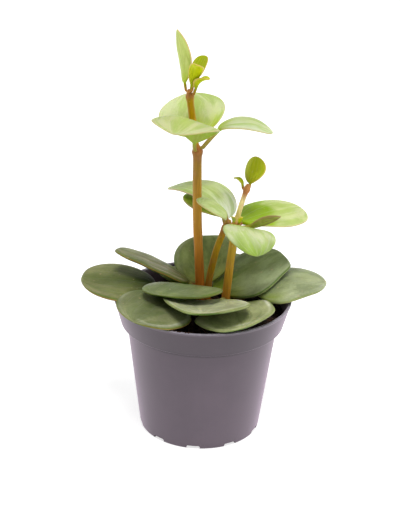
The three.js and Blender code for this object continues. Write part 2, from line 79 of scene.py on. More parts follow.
# Each leaf: stem, height on it, heading, rise at the stalk's foot, the blade's foot and the tip, stalk,
# length and width of the blade, and what else shapes it. roll, twist and sweep turn it, cup and curl bend its
# margins, bend says how soon its rise changes, and ends (or left and right, for one side) rounds its foot and
# tip. A cut makes a side almost straight, and lean makes the left side wider. Angles are in degrees.
PLAIN = dict(roll=0, twist=0, sweep=0, cup=0, curl=0, bend=1, lean=0)
OLD = dict(PLAIN, thickness=2.6, stalk_radius=1.2)
YOUNG = dict(PLAIN, thickness=1.4, stalk_radius=0.95)
SMALL = dict(PLAIN, thickness=1.0, stalk_radius=0.65)
LEAVES = {
    "low_left": ("tall", 64.5, 178, (10, 12, -3), 19, 36.5, 40.5, dict(OLD, roll=-2, cup=-0.8, curl=0.3,
        bend=0.75, left=(0.45, 0.65), right=(0.55, 0.4), lean=0.02)),
    "low_front_left": ("tall", 65, 237, (24, 7, -4), 17.5, 33, 39.5, dict(OLD, roll=-7, cup=-1.2, curl=0.4,
        bend=0.8, left=(0.8, 0.7), right=(0.4, 0.55), left_cut=(1.2, 0.8), lean=-0.06)),
    "low_back_left": ("tall", 69.5, 169, (18, 29, 12), 3, 39, 22.5, dict(OLD, roll=9, cup=0.1, curl=0.7,
        bend=0.7, left=(0.45, 0.65), right=(0.8, 0.45), lean=-0.2)),
    "low_back": ("tall", 66, 86, (41, 37, 20), 2.5, 31, 31.5, dict(OLD, roll=-5, cup=1.9, curl=-1.3,
        bend=1.4, left=(0.55, 0.5), right=(0.65, 0.45), lean=-0.06)),
    "low_back_right": ("middle", 65, 25, (4, 25, 17), 2, 38.5, 41, dict(OLD, roll=6, cup=0.9, curl=-1,
        bend=1.55, left=(0.45, 0.5), right=(0.6, 0.45), right_cut=(1.6, 0.6), lean=-0.26)),
    "low_right": ("right", 63.8, 15, (14, 29, -20), 12.5, 37.5, 35.5, dict(OLD, roll=3, cup=-2.3, curl=-0.4,
        bend=0.85, left=(0.7, 0.45), right=(0.4, 0.7), right_cut=(1.5, 0.6), lean=-0.02)),
    "low_front_upper": ("tall", 68.5, 242, (10, 37, -2), 1, 35.5, 39, dict(OLD, roll=7, cup=-0.4, bend=0.9,
        left=(0.8, 0.5), right=(0.65, 0.4), left_cut=(1.9, 2.1), right_cut=(1.3, 0.9), lean=0.18)),
    "low_front_middle": ("right", 66.5, 258, (29, 14, 15), 10, 34, 42, dict(OLD, roll=8, cup=2.4, curl=-1,
        bend=0.5, left=(0.7, 0.45), right=(0.8, 0.55), right_cut=(2.2, 0.4), lean=-0.16)),
    "low_front_right": ("right", 64, 279, (9, 20, -2), 9.5, 31, 40.5, dict(OLD, roll=12, cup=0.2, curl=-0.8,
        bend=0.85, left=(0.4, 0.65), right=(0.4, 0.45), left_cut=(0.9, 1), lean=0.08)),
    "low_rear_right": ("middle", 63, 68, (6, 10, 16), 11.5, 27, 27, dict(OLD, thickness=2.2,
        ends=(0.5, 0.6))),
    "low_rear_left": ("tall", 63.5, 112, (26, 15, -20), 8, 23.5, 26, dict(OLD, thickness=2.2, cup=0.9,
        ends=(0.5, 0.6))),
    "tall_front": ("tall", 139, 255, (66, 85, -25), 3.5, 42.5, 31, dict(YOUNG, roll=-13, sweep=1, twist=13,
        cup=-2.8, curl=0.7, bend=0.75, left=(0.75, 0.55), right=(0.8, 0.75), lean=0.04)),
    "tall_back": ("tall", 139.5, 98, (64, 30, 34), 4.5, 27.5, 31.5, dict(YOUNG, roll=-13, twist=3, cup=3,
        left=(0.55, 0.7), right=(0.55, 0.6))),
    "tall_right": ("tall", 139.5, -13, (54, 48, -43), 11.5, 27.5, 18.5, dict(YOUNG, roll=14, sweep=4,
        twist=-17, cup=-1.9, curl=-0.2, bend=0.95, left=(0.4, 0.8), right=(0.8, 0.5), lean=0.16)),
    "top_left": ("tall", 165.5, 138, (73, 80, 74), 3.5, 24, 13, dict(SMALL, roll=66, twist=10, cup=1.9,
        bend=1.05, left=(0.65, 0.8), right=(0.45, 0.8), lean=-0.04)),
    "top_back": ("tall", 165.5, 54, (78, 64, 38), 5, 12.5, 8, dict(SMALL, cup=0.6, left=(0.8, 0.5),
        right=(0.55, 0.5))),
    "top_front": ("tall", 166, 296, (82, 75, 27), 2.5, 15, 6.5, dict(SMALL, roll=-5, sweep=-17, twist=-18,
        cup=0.7, bend=1.2, left=(0.6, 0.4), right=(0.8, 0.4), lean=0.12)),
    "top_right": ("tall", 164.5, -38, (65, 70, -1), 3.5, 9.5, 4, dict(SMALL, roll=5, sweep=5, cup=1.6,
        left=(0.5, 0.45), right=(0.4, 0.6), lean=-0.08)),
    "middle_arching": ("middle", 103, 125, (66, 99, -29), 0.5, 44.5, 18.5, dict(YOUNG, roll=-13, sweep=23,
        twist=12, bend=0.4, left=(0.8, 0.65), right=(0.45, 0.8), lean=0.04)),
    "middle_under": ("middle", 100.5, 113, (47, 60, -23), 3, 27.5, 24.5, dict(YOUNG, roll=-4, sweep=14,
        twist=26, cup=-0.7, curl=-0.2, bend=0.5, left=(0.8, 0.75), right=(0.45, 0.8), lean=0.22)),
    "middle_front": ("middle", 103, 231, (84, 57, 9), 5.5, 23, 14, dict(YOUNG, roll=-39, sweep=12, twist=13,
        cup=-1.2, curl=0.6, bend=0.5, left=(0.4, 0.45), right=(0.8, 0.45), lean=0.2)),
    "right_back": ("right", 104, 40, (33, 10, -13), 0.5, 39, 30.5, dict(YOUNG, roll=4, sweep=3, twist=4,
        cup=-2.3, curl=-0.1, ends=(0.6, 0.45), lean=0.06)),
    "right_edge": ("right", 103, 340, (8, 25, 27), 5, 16, 5, dict(YOUNG, roll=-66, cup=0.7,
        left=(0.45, 0.8), right=(0.8, 0.75))),
    "right_drooping": ("right", 102.5, 291, (49, 27, -59), 3.5, 24, 26, dict(YOUNG, roll=-16, curl=0.9,
        left=(0.55, 0.55), right=(0.7, 0.65))),
    "bud_left": ("right", 105.5, 243, (85, 86, 38), 1, 3.5, 2.5, dict(SMALL, cup=0.3, ends=(0.6, 0.6))),
    "bud_right": ("right", 105.5, -69, (62, 66, 40), 1, 4.5, 2.5, dict(SMALL, cup=0.3, ends=(0.6, 0.6))),
    "twig_round": ("right", 122, 63, (81, 65, 64), 1.5, 13, 11.5, dict(SMALL, roll=-12, cup=-1.7,
        left=(0.65, 0.55), right=(0.75, 0.55))),
    "twig_curled": ("right", 121.5, 134, (92, 69, -32), 1.5, 6.5, 3, dict(SMALL, roll=5, cup=0.3,
        left=(0.75, 0.4), right=(0.5, 0.4))),
}

# ---- Colours, as 8-bit sRGB ----

# top and under are the blade's faces, middle its inner part, foot its base, tip its end and rim its margin.
# On a thick leaf side is the band round the margin, painted darker as shade, and the paler line beside it is
# an uneven painted highlight. stalk and heel are the two ends of the stalk.
OLD_TONES = dict(top=(126, 134, 84), middle=(84, 100, 40), foot=(92, 112, 32), under=(58, 84, 18),
    side=(94, 118, 50), rim=(120, 116, 58), painted_highlight=(174, 178, 144), stalk=(146, 140, 70), heel=(136, 84, 36))
YOUNG_TONES = dict(top=(212, 218, 158), middle=(194, 206, 106), foot=(166, 186, 40), under=(166, 186, 76),
    rim=(196, 182, 124), stalk=(172, 146, 66), heel=(166, 100, 56))
CROWN_TONES = dict(top=(206, 212, 28), middle=(190, 198, 0), foot=(166, 172, 0), under=(200, 206, 16),
    rim=(222, 190, 110), stalk=(170, 142, 40), heel=(186, 108, 70))
# What the paler leaves of the rosette share.
PALE = dict(foot=(142, 158, 76), under=(76, 104, 30), side=(134, 149, 90), rim=(148, 150, 98),
    painted_highlight=(220, 220, 196), stalk=(152, 146, 76), heel=(140, 88, 40))
# Where a leaf differs from the others of its kind.
TONES = {
    "low_right": dict(PALE, top=(174, 181, 142), middle=(142, 152, 104)),
    # low_left's very dark middle and foot are painted shade from the stems beside them.
    "low_left": dict(top=(134, 136, 90), middle=(52, 66, 6), foot=(46, 58, 2), rim=(160, 112, 74),
        painted_highlight=(152, 146, 110)),
    "low_front_left": dict(top=(142, 146, 104), middle=(50, 60, 18), rim=(156, 112, 66),
        painted_highlight=(214, 214, 194)),
    # low_back_left's pale pinkish middle is a painted highlight along its fold.
    "low_back_left": dict(top=(124, 130, 86), middle=(180, 168, 148), foot=(104, 102, 50),
        under=(62, 104, 14), side=(90, 118, 44), rim=(182, 124, 78), painted_highlight=(176, 162, 140)),
    "low_front_upper": dict(top=(128, 138, 92), middle=(88, 106, 54), painted_highlight=(140, 148, 100)),
    "low_back": dict(top=(150, 160, 104), middle=(130, 146, 80), foot=(150, 162, 80), rim=(142, 128, 72)),
    "low_back_right": dict(top=(158, 168, 130), middle=(120, 133, 76), foot=(132, 148, 50),
        side=(72, 104, 32), rim=(160, 164, 112)),
    # low_front_middle's middle and foot are painted lighter, painted light that offsets the shadow of the
    # leaf above.
    "low_front_middle": dict(PALE, top=(190, 192, 152), middle=(198, 202, 158), foot=(190, 198, 144)),
    "low_front_right": dict(PALE, top=(166, 170, 122), middle=(150, 156, 96), foot=(100, 112, 42)),
    "tall_front": dict(top=(206, 210, 154), foot=(154, 164, 56), under=(126, 156, 20), stalk=(158, 134, 62),
        heel=(152, 100, 58)),
    "tall_right": dict(top=(212, 220, 182), middle=(196, 208, 132), stalk=(168, 120, 68),
        heel=(146, 86, 56)),
    "top_left": dict(top=(216, 224, 172), middle=(200, 212, 120), foot=(172, 192, 30), under=(200, 212, 120),
        rim=(222, 186, 140)),
    "middle_under": dict(top=(138, 146, 62), middle=(140, 166, 14), under=(130, 140, 50)),
    "middle_arching": dict(top=(220, 232, 172), middle=(214, 228, 150), foot=(244, 250, 232),
        rim=(196, 170, 132)),
    "middle_front": dict(top=(206, 220, 150), middle=(200, 216, 132), foot=(196, 210, 124)),
    "right_back": dict(foot=(146, 180, 0), middle=(190, 210, 100)),
    "tall_back": dict(top=(216, 224, 168), middle=(192, 208, 100), foot=(190, 206, 56)),
    "right_edge": dict(top=(132, 118, 50), middle=(126, 112, 44), under=(132, 122, 54), foot=(144, 138, 40),
        rim=(166, 140, 96)),
    "top_back": dict(top=(168, 176, 0), middle=(150, 162, 0)),
    "top_front": dict(top=(202, 202, 20), middle=(186, 190, 0)),
    "bud_left": dict(top=(176, 192, 104), middle=(170, 186, 90), under=(176, 192, 104)),
    "bud_right": dict(top=(248, 244, 24), under=(248, 244, 24), middle=(240, 236, 10)),
    "twig_round": dict(top=(190, 196, 40), middle=(178, 182, 6), foot=(160, 160, 0), under=(182, 188, 30)),
    "right_drooping": dict(top=(210, 216, 174), middle=(204, 212, 158), foot=(158, 184, 84),
        tip=(122, 150, 50), rim=(146, 162, 80)),
    "twig_curled": dict(top=(176, 184, 16), under=(176, 184, 16), middle=(166, 172, 0), rim=(188, 180, 40)),
}
# Where the foot's colour ends and where it is full, as shares of the blade, and how much further it runs
# along the left margin.
USUAL_FOOT_EDGE = (0.34, 0.02, 0)
FOOT_EDGE = {"right_back": (0.56, 0.4, 0.25), "tall_back": (0.5, 0.02, 0), "right_drooping": (0.5, 0.02, 0)}
# Colour of each stem by height.
STEM_TONES = {
    "tall": [(58, (176, 94, 28)), (80, (188, 116, 38)), (104, (198, 144, 50)), (120, (184, 138, 44)),
        (130, (164, 126, 48)), (136, (152, 108, 50)), (139, (164, 102, 56)), (142, (178, 134, 0)),
        (161.6, (184, 142, 0)), (163.4, (168, 114, 54)), (167, (168, 118, 60))],
    "middle": [(58, (158, 96, 30)), (80, (182, 140, 28)), (94, (186, 150, 28)), (99, (176, 118, 66)),
        (104, (170, 136, 40))],
    "right": [(58, (196, 124, 44)), (72, (212, 154, 52)), (92, (188, 154, 46)), (101, (168, 120, 56)),
        (105, (196, 140, 76)), (107, (224, 204, 130)), (116, (244, 222, 160)), (120, (190, 124, 76)),
        (124, (176, 124, 66))],
}


def linear(colour):
    """Scene-linear RGB of an 8-bit sRGB colour or an array of them."""
    c = np.asarray(colour, float) / 255
    return np.where(c <= 0.04045, c / 12.92, ((c + 0.055) / 1.055) ** 2.4)


def rgb(*colour):
    """The same as a tuple, for a node's socket."""
    return tuple(float(c) for c in linear(colour))


# ---- Meshes ----


def smooth(low, high, x):
    """0 up to low, 1 from high on and a smooth rise between. With low above high it falls."""
    t = np.clip((x - low) / (high - low), 0, 1)
    return t * t * (3 - 2 * t)


def lerp(a, b, t):
    return a + (b - a) * t


def near(value, place, width):
    """1 at the place, falling off over the width on both sides."""
    return np.exp(-(((value - place) / width) ** 2))


def ripple(seed, x, y, wavelength):
    """A smooth wavy field between about -1 and 1, the same for the same seed."""
    rng = np.random.RandomState(seed)
    total = 0
    for _ in range(7):
        turn = rng.uniform(0, 2 * pi)
        wave = 2 * pi / (wavelength * rng.uniform(0.7, 1.6))
        phase = rng.uniform(0, 2 * pi)
        total = total + np.sin(wave * (cos(turn) * x + sin(turn) * y) + phase)
    return total / 4


def circle(sides):
    """Evenly spaced angles all round."""
    return np.arange(sides) * 2 * pi / sides


def skin(first, rings, last):
    """Points, faces and face-corner UVs of a closed body of rings with a point at either end."""
    count, n = rings.shape[:2]
    points = np.vstack([first[None], rings.reshape(-1, 3), last[None]])
    end = len(points) - 1
    faces, uvs = [], []
    v = np.linspace(0.02, 0.98, count)
    for k in range(n):
        m = (k + 1) % n
        left, right = k / n, (k + 1) / n
        faces.append((0, 1 + m, 1 + k))
        uvs += [(left, 0), (right, v[0]), (left, v[0])]
        for i in range(count - 1):
            a, b = 1 + i * n, 1 + (i + 1) * n
            faces.append((a + k, a + m, b + m, b + k))
            uvs += [(left, v[i]), (right, v[i]), (right, v[i + 1]), (left, v[i + 1])]
        a = 1 + (count - 1) * n
        faces.append((end, a + k, a + m))
        uvs += [(left, 1), (left, v[-1]), (right, v[-1])]
    return points, faces, uvs


def ringed(first, values, last):
    """One value for each point that skin() makes, from the value of each ring's points."""
    return np.concatenate([[first], values.reshape(-1), [last]])


def tube(path, radii):
    """A closed round body along a path, from the radii of each ring's points."""
    along = np.gradient(path, axis=0)
    along /= np.linalg.norm(along, axis=1)[:, None]
    helper = np.array([1.0, 0, 0] if abs(along[0, 2]) >= 0.7 else [0, 0, 1.0])
    across = helper - (along @ helper)[:, None] * along
    across /= np.linalg.norm(across, axis=1)[:, None]
    other = np.cross(along, across)
    turn = circle(radii.shape[1])[:, None]
    outward = across[:, None] * np.cos(turn) + other[:, None] * np.sin(turn)
    rings = path[:, None] + radii[..., None] * outward
    return skin(path[0] - along[0] * radii[0, 0] * 0.3, rings, path[-1] + along[-1] * radii[-1, 0] * 0.4)


def joined(bodies):
    """One list of points and one of faces from several bodies."""
    points, faces, base = [], [], 0
    for body, sheet in bodies:
        points.append(body)
        faces += [[base + i for i in face] for face in sheet]
        base += len(body)
    return np.vstack(points), faces


def add_object(name, data):
    obj = bpy.data.objects.new(name, data)
    bpy.context.scene.collection.objects.link(obj)
    return obj


def add_numbers(mesh, numbers):
    """Gives the mesh's points named values, which the materials read."""
    for key, values in numbers.items():
        layer = mesh.attributes.new(key, "FLOAT", "POINT")
        layer.data.foreach_set("value", np.asarray(values, np.float32))


def mesh_object(name, points, faces, uvs=None, numbers=None, tone=None):
    """A smooth mesh from points in millimetres, with named numbers and a colour for each point."""
    mesh = bpy.data.meshes.new(name)
    mesh.from_pydata((np.asarray(points) * MM).tolist(), [], faces)
    mesh.shade_smooth()
    if uvs is not None:
        layer = mesh.uv_layers.new(name="OFBake")
        layer.uv.foreach_set("vector", np.asarray(uvs, np.float32).ravel())
    add_numbers(mesh, numbers or {})
    if tone is not None:
        rgba = np.hstack([tone, np.ones((len(tone), 1))]).astype(np.float32)
        mesh.attributes.new("tone", "FLOAT_COLOR", "POINT").data.foreach_set("color", rgba.ravel())
    mesh.update()
    return add_object(name, mesh)


def finish_piece(obj, material, nodes=()):
    """Gives a piece its material and its body, and hides the nodes that it stands for."""
    obj.data.materials.append(material)
    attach(obj, "root")
    if nodes:
        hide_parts(*nodes)


# ---- Node materials ----


class Shader:
    """A node material under construction. Inputs may be numbers, colours or other nodes' outputs."""

    def __init__(self, name):
        self.material = bpy.data.materials.new(name)
        self.material.use_nodes = True
        self.tree = self.material.node_tree
        self.surface = self.tree.nodes["Principled BSDF"]

    def node(self, kind, settings=None, **inputs):
        made = self.tree.nodes.new(kind)
        for key, value in (settings or {}).items():
            setattr(made, key, value)
        self.fill(made, inputs)
        return made

    def put(self, node, socket, value):
        target = node.inputs[socket]
        if isinstance(value, bpy.types.NodeSocket):
            self.tree.links.new(value, target)
        else:
            target.default_value = (*value, 1) if target.type == "RGBA" else value

    def fill(self, node, inputs):
        for key, value in inputs.items():
            self.put(node, key.replace("_", " "), value)

    def set(self, **inputs):
        """Fills inputs of the surface shader."""
        self.fill(self.surface, inputs)

    def in_order(self, node, *values):
        """Fills a node's inputs in their order, and gives its output."""
        for i, value in enumerate(values):
            self.put(node, i, value)
        return node.outputs[0]

    def math(self, operation, *values):
        return self.in_order(self.node("ShaderNodeMath", {"operation": operation}), *values)

    def times(self, value, *shares):
        for share in shares:
            value = self.math("MULTIPLY", value, share)
        return value

    def number(self, name):
        return self.node("ShaderNodeAttribute", {"attribute_name": name}).outputs["Fac"]

    def tone(self):
        """The colour that the mesh gives each point."""
        return self.node("ShaderNodeAttribute", {"attribute_name": "tone"}).outputs["Color"]

    def place(self, stretch=(1, 1, 1)):
        at = self.node("ShaderNodeTexCoord").outputs["Object"]
        return self.node("ShaderNodeMapping", Vector=at, Scale=stretch).outputs[0]

    def noise(self, scale, at=None, detail=4, rough=0.55, warp=0.0):
        made = self.node("ShaderNodeTexNoise", Scale=scale, Detail=detail, Roughness=rough, Distortion=warp,
                         Vector=at or self.place())
        return made.outputs["Fac"]

    def spots(self, scale, at=None, feature="F1"):
        at = at or self.place()
        return self.node("ShaderNodeTexVoronoi", {"feature": feature}, Scale=scale, Vector=at).outputs

    def channels(self, colour):
        return self.node("ShaderNodeSeparateColor", Color=colour).outputs

    def ramp(self, value, low, high, to_low=0.0, to_high=1.0):
        made = self.node("ShaderNodeMapRange", {"interpolation_type": "SMOOTHSTEP"})
        return self.in_order(made, value, low, high, to_low, to_high)

    def mix(self, share, a, b, blend="MIX"):
        made = self.node("ShaderNodeMix", {"data_type": "RGBA", "blend_type": blend})
        # The node's inputs 0, 6 and 7 are the share and the two colours.
        for socket, value in ((0, share), (6, a), (7, b)):
            self.put(made, socket, value)
        return made.outputs[2]

    def scaled(self, colour, light):
        """The colour times a number."""
        grey = self.node("ShaderNodeCombineColor", Red=light, Green=light, Blue=light).outputs[0]
        return self.mix(1.0, colour, grey, "MULTIPLY")

    def shade(self, colour, value, spread, low=0.25, high=0.75):
        """The colour, darker by the spread where the value is low and lighter where it is high."""
        return self.scaled(colour, self.ramp(value, low, high, 1 - spread, 1 + spread))

    def bump(self, height, distance, strength, **under):
        made = self.node("ShaderNodeBump", Height=height, Distance=distance, Strength=strength, **under)
        return made.outputs[0]


# Veins of a leaf: place between the midrib (0) and the margin (1), and width in millimetres.
VEINS = ((0, 0.8), (0.36, 0.55), (0.68, 0.45))
WAX = rgb(196, 204, 190)


def leaf_material(name, patch, patch_share, vein, vein_share, speck_share, rough, shine, gloss,
                  speck=rgb(206, 190, 120), mottle=0.05, waxy=0):
    """Living leaf: its painted tone, fresher streaks, veins, mottling, small marks and a waxy bloom."""
    m = Shader(name)
    across, along, half_width = map(m.number, ("across", "along", "half_width"))
    wander = m.math("MULTIPLY_ADD", m.noise(260, detail=2), 0.16, -0.08)
    from_midrib = m.math("ADD", m.math("ABSOLUTE", across), wander)
    veins = 0
    for place, width in VEINS:
        off = m.math("ABSOLUTE", m.math("SUBTRACT", from_midrib, place))
        veins = m.math("MAXIMUM", veins, m.ramp(m.times(off, half_width), 0, width, 1, 0))
    patchy = m.ramp(m.noise(420, detail=3), 0.3, 0.7, 0.35, 1)
    on_face = m.ramp(m.number("over"), -0.2, 0.2, 0.45, 1)
    veins = m.times(veins, patchy, m.ramp(along, 0, 0.12), on_face)

    # The fresher streaks run lengthwise, differ from leaf to leaf and stay off the margin.
    flow = m.node("ShaderNodeCombineXYZ", X=m.times(across, 2.6), Y=m.times(along, 1.7), Z=m.number("lot"))
    streaks = m.noise(1, at=flow.outputs[0], rough=0.6, warp=0.8)
    off_margin = m.ramp(m.number("rim"), 0, 0.6, 1, 0)
    tone = m.mix(m.times(m.ramp(streaks, 0.38, 0.62), patch_share, off_margin), m.tone(), patch)
    fine = m.noise(900, detail=5, rough=0.6)
    tone = m.shade(tone, m.noise(130, detail=3, rough=0.5), mottle)
    tone = m.shade(tone, fine, 0.6 * mottle)
    tone = m.mix(m.times(veins, vein_share), tone, vein)
    bloom = m.ramp(m.noise(75, detail=5, rough=0.65), 0.45, 0.8)
    tone = m.mix(m.times(bloom, waxy, m.ramp(along, 0.25, 0.6)), tone, WAX)

    # About a third of the cells hold a small mark, each of a size of its own.
    cells = m.spots(420)
    lot = m.channels(cells["Color"])
    mark = m.ramp(m.math("DIVIDE", cells["Distance"], lot[1]), 0.08, 0.4, 1, 0)
    tone = m.mix(m.times(mark, m.ramp(lot[0], 0.64, 0.7), speck_share), tone, speck)
    m.set(Base_Color=tone, Roughness=m.ramp(fine, 0.2, 0.8, rough - 0.07, rough + 0.09),
          Specular_IOR_Level=shine, Coat_Weight=gloss, Coat_Roughness=0.24, Coat_IOR=1.4,
          Subsurface_Weight=0.15, Subsurface_Radius=(0.7, 1, 0.15), Subsurface_Scale=0.0012)
    relief = m.bump(m.spots(1500, feature="DISTANCE_TO_EDGE")["Distance"], 0.00006, 0.35)
    relief = m.bump(fine, 0.00012, 0.6, Normal=relief)
    m.set(Normal=m.bump(m.math("SUBTRACT", 1, veins), 0.00014, 0.8, Normal=relief))
    return m.material


def stem_material():
    """Smooth fleshy skin with fine lengthwise streaks and small pale pores."""
    m = Shader("stem_skin")
    streak = m.noise(1, at=m.place((1100, 1100, 60)))
    tone = m.shade(m.tone(), streak, 0.18)
    tone = m.mix(m.ramp(m.noise(170), 0.5, 0.75, 0, 0.3), tone, rgb(186, 128, 96))
    cells = m.spots(1, at=m.place((620, 620, 260)))
    pores = m.ramp(cells["Distance"], 0.08, 0.2, 1, 0)
    pores = m.times(pores, m.ramp(m.channels(cells["Color"])[1], 0.6, 0.7))
    tone = m.mix(m.times(pores, 0.35), tone, rgb(205, 170, 120))
    m.set(Base_Color=tone, Roughness=m.ramp(streak, 0.2, 0.8, 0.38, 0.52), Specular_IOR_Level=0.14,
          Sheen_Weight=0.08, Sheen_Roughness=0.3, Sheen_Tint=rgb(235, 180, 150), Subsurface_Weight=0.12,
          Subsurface_Radius=(1, 0.6, 0.2), Subsurface_Scale=0.001)
    m.set(Normal=m.bump(pores, 0.0001, 0.6, Normal=m.bump(streak, 0.00012, 0.6)))
    return m.material


def pot_material():
    """Thin matte plastic, faintly cloudy, with a fine tool grain, a rubbed lip with a painted highlight,
    painted shade on and under the band, and a peat film with painted shade inside.
    """
    m = Shader("pot_plastic")
    cloud = m.noise(28, rough=0.6)
    draw = m.noise(1, at=m.place((420, 420, 26)), detail=3)
    grain = m.noise(2600, detail=2)
    tone = m.mix(m.ramp(cloud, 0.3, 0.7), rgb(84, 72, 83), rgb(92, 79, 90))
    tone = m.shade(tone, draw, 0.01, 0.3, 0.7)
    tone = m.shade(tone, grain, 0.015, 0.3, 0.7)
    # Painted shade: the rim band is painted darker, standing in for the leaves' shadow on it.
    tone = m.scaled(tone, m.ramp(m.number("band"), 0, 1, 1, 0.61))
    # Painted shadow: darker just under the rim band, where the band's shadow falls.
    tone = m.scaled(tone, m.ramp(m.number("shadow_under_band"), 0, 1, 1, 0.35))
    # The lip's top is painted lighter: partly rubbed plastic and partly a painted highlight along it.
    lip_rub_and_highlight = m.times(m.number("edge"), m.ramp(m.noise(520), 0.35, 0.7, 0.65, 1))
    tone = m.mix(m.times(lip_rub_and_highlight, 0.75), tone, rgb(170, 164, 176))
    # Darker inside the rim above the soil, a peat film together with painted shade. Round the foot it is a
    # little dirt.
    peat_film_and_shade = m.ramp(m.noise(700, detail=5, rough=0.7), 0.3, 0.6, 0.5, 1)
    tone = m.mix(m.times(m.number("soiled_and_shaded"), peat_film_and_shade, 0.85), tone, rgb(46, 34, 34))
    m.set(Base_Color=tone, Roughness=m.ramp(cloud, 0.2, 0.8, 0.36, 0.46), Specular_IOR_Level=0.5,
          Sheen_Weight=0.7, Sheen_Roughness=0.35, Sheen_Tint=rgb(235, 205, 235))
    m.set(Normal=m.bump(grain, 0.00003, 0.4, Normal=m.bump(draw, 0.00003, 0.25)))
    return m.material


def soil_material(name, dark, light, scale):
    """Damp peat: lumps in two colours, with finer light and dark grains."""
    m = Shader(name)
    lump = m.noise(scale, detail=6, rough=0.65)
    fine = m.noise(scale * 5, detail=5, rough=0.7)
    tone = m.scaled(m.mix(m.ramp(lump, 0.35, 0.7), dark, light), m.ramp(fine, 0.3, 0.75, 0.7, 1.35))
    m.set(Base_Color=tone, Roughness=m.ramp(fine, 0.3, 0.7, 0.78, 0.96), Specular_IOR_Level=0.3)
    m.set(Normal=m.bump(fine, 0.0004, 0.9, Normal=m.bump(lump, 0.0006, 0.6)))
    return m.material


# ---- Pot ----

POT_SIDES, POT_STEP = 180, 2.5
CHANNEL_PAST = 3  # how far the channels' tools reach out past the foot


def fillet(corners, steps=6):
    """Profile points, with each corner (radius, z, rounding) rounded off."""
    places, points = np.array(corners, float)[:, :2], []
    for i, (_, _, rounding) in enumerate(corners):
        here = places[i]
        if not rounding:
            points.append(here)
            continue
        before, after = places[i - 1] - here, places[i + 1] - here
        start = here + before * min(0.5, rounding / np.linalg.norm(before))
        end = here + after * min(0.5, rounding / np.linalg.norm(after))
        for t in np.linspace(0, 1, steps):
            points.append(lerp(lerp(start, here, t), lerp(here, end, t), t))
    return np.array(points)


def divided(points, longest):
    """The same line with no step longer than this."""
    out = [points[0]]
    for a, b in zip(points, points[1:]):
        n = max(1, ceil(np.linalg.norm(b - a) / longest))
        out += [lerp(a, b, (j + 1) / n) for j in range(n)]
    return np.array(out)


def lathe(profile, sides):
    """Points, faces and UVs turned from a profile whose two ends lie on the axis."""
    turn = circle(sides)
    inner = profile[1:-1]
    rings = np.stack([inner[:, :1] * np.cos(turn), inner[:, :1] * np.sin(turn),
                      np.repeat(inner[:, 1:], sides, 1)], -1)
    first, last = (np.array([0, 0, z]) for z in profile[[0, -1], 1])
    return skin(first, rings, last)


def wall_radius(z):
    """Outside radius of the wall below the rim band."""
    return lerp(POT.foot, POT.neck, z / (POT.height - POT.band_height))


def band_radius(z):
    """Outside radius of the rim band."""
    return lerp(POT.lip, POT.band, (POT.height - z) / POT.band_height)


def tool(name, shape, turn, radius):
    """An object for cut() from a mesh in millimetres, at a radius and turned about the axis."""
    out = Matrix.Translation((radius, 0, 0))
    bmesh.ops.transform(shape, matrix=Matrix.Scale(MM, 4) @ turn @ out, verts=shape.verts)
    mesh = bpy.data.meshes.new(name)
    shape.to_mesh(mesh)
    shape.free()
    return add_object(name, mesh)


def drain_tools():
    """The rounded channels under the foot and the hole in each, as tools."""
    tools = []
    outer = POT.foot + CHANNEL_PAST
    length, tall = outer - DRAIN.inner, 2 * DRAIN.height
    for i in range(DRAIN.count):
        turn = Matrix.Rotation(radians(DRAIN.first + 360 * i / DRAIN.count), 4, "Z")
        shape = bmesh.new()
        bmesh.ops.create_cube(shape, size=1, matrix=Matrix.Diagonal((length, DRAIN.width, tall, 1)))
        bmesh.ops.bevel(shape, geom=shape.edges[:], offset=DRAIN.rounding, segments=4, profile=0.5,
                        affect="EDGES")
        tools.append(tool("channel", shape, turn, (outer + DRAIN.inner) / 2))
        # The hole's rod stands out on both sides of the floor.
        shape = bmesh.new()
        bmesh.ops.create_cone(shape, cap_ends=True, segments=32, radius1=DRAIN.hole,
                              radius2=DRAIN.hole, depth=3 * POT.floor)
        tools.append(tool("hole", shape, turn, DRAIN.ring))
    return tools


def cut(obj, tools):
    """Takes the tool objects out of obj and removes them."""
    for item in tools:
        cutter = obj.modifiers.new("cut", "BOOLEAN")
        cutter.operation, cutter.solver, cutter.object = "DIFFERENCE", "EXACT", item
    bpy.context.view_layer.update()
    mesh = bpy.data.meshes.new_from_object(obj.evaluated_get(bpy.context.evaluated_depsgraph_get()))
    obj.modifiers.clear()
    old, obj.data = obj.data, mesh
    bpy.data.meshes.remove(old)
    for item in tools:
        bpy.data.objects.remove(item)


